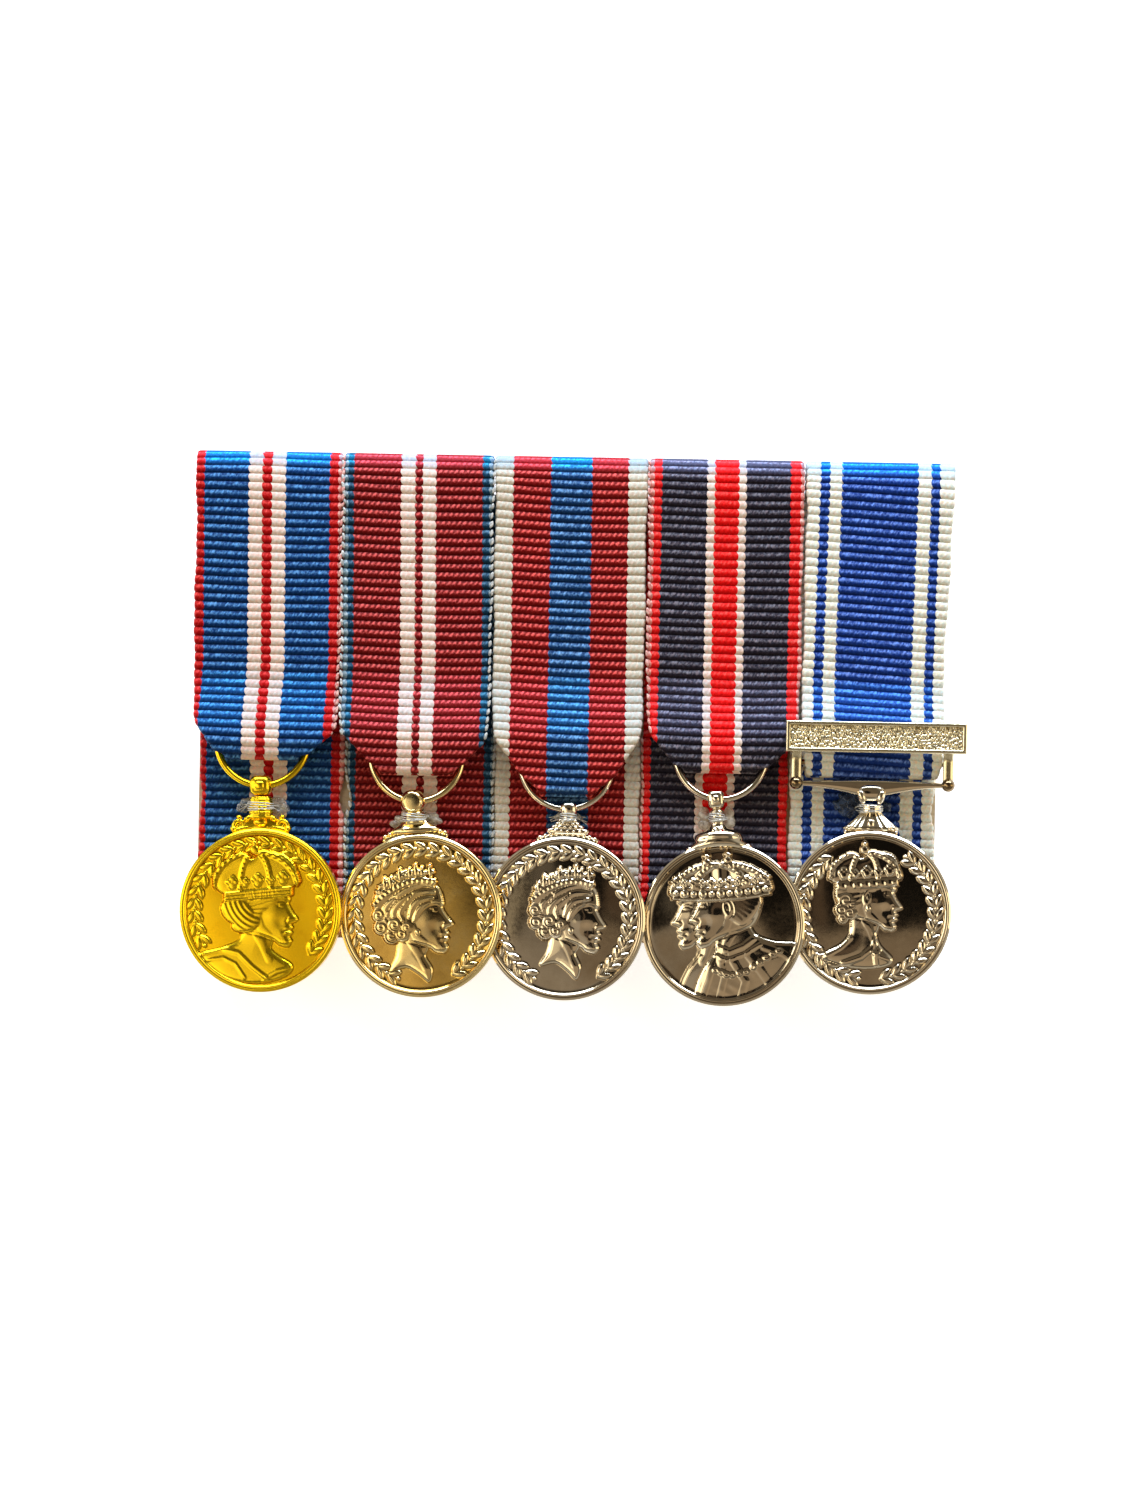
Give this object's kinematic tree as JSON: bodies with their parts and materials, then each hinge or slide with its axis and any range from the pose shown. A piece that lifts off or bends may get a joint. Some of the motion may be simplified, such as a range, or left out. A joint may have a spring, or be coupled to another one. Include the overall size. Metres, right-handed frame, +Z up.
{
  "type": "mounted medal group",
  "caption": "Court-mounted row of miniature medals: striped ribbons over a stiff board, each with a struck disc tied down below it, and a brooch pin across the back.",
  "frame": {"origin": "on the surface under the middle of the group's box, where it lies on its back", "axes": "+X along the row to the viewer's right, +Y from the discs towards the top fold, +Z up and out of the medals' faces"},
  "size_m": [0.083, 0.058, 0.0095],
  "materials": {
    "card": "plain beige card",
    "dark_cloth": "matt felted wool",
    "pin_steel": "plain plated steel",
    "ribbon_blue_red": "ribbed silk, blue with a red and white centre and red edges",
    "ribbon_maroon": "ribbed silk, maroon with a white centre and blue edges",
    "ribbon_red_blue": "ribbed silk, red with a blue centre and white edges",
    "ribbon_navy": "ribbed silk, dark blue with a red and white centre and red edges",
    "ribbon_royal_blue": "ribbed silk, royal blue with white and blue edges",
    "gilt": "bright gilt",
    "pale_gilt": "pale polished gilt",
    "nickel": "warm polished nickel plate",
    "clear_tie": "clear glue over fine thread"
  },
  "bodies": {
    "root": {"board": "card", "back_cloth": "dark_cloth", "brooch": "pin_steel", "backing_ribbon_1": "ribbon_blue_red", "backing_ribbon_2": "ribbon_maroon", "backing_ribbon_3": "ribbon_red_blue", "backing_ribbon_4": "ribbon_navy", "backing_ribbon_5": "ribbon_royal_blue", "ribbon_1": "ribbon_blue_red", "ribbon_2": "ribbon_maroon", "ribbon_3": "ribbon_red_blue", "ribbon_4": "ribbon_navy", "ribbon_5": "ribbon_royal_blue", "ring_1": "gilt", "ring_2": "pale_gilt", "ring_3": "nickel", "ring_4": "nickel", "medal_1": "gilt", "medal_2": "pale_gilt", "medal_3": "nickel", "medal_4": "nickel", "medal_5": "nickel", "suspender": "nickel", "clasp": "nickel", "rivet_left": "nickel", "rivet_right": "nickel", "tie_1": "clear_tie", "tie_2": "clear_tie", "tie_3": "clear_tie", "tie_4": "clear_tie", "tie_5": "clear_tie"}
  },
  "joints": []
}
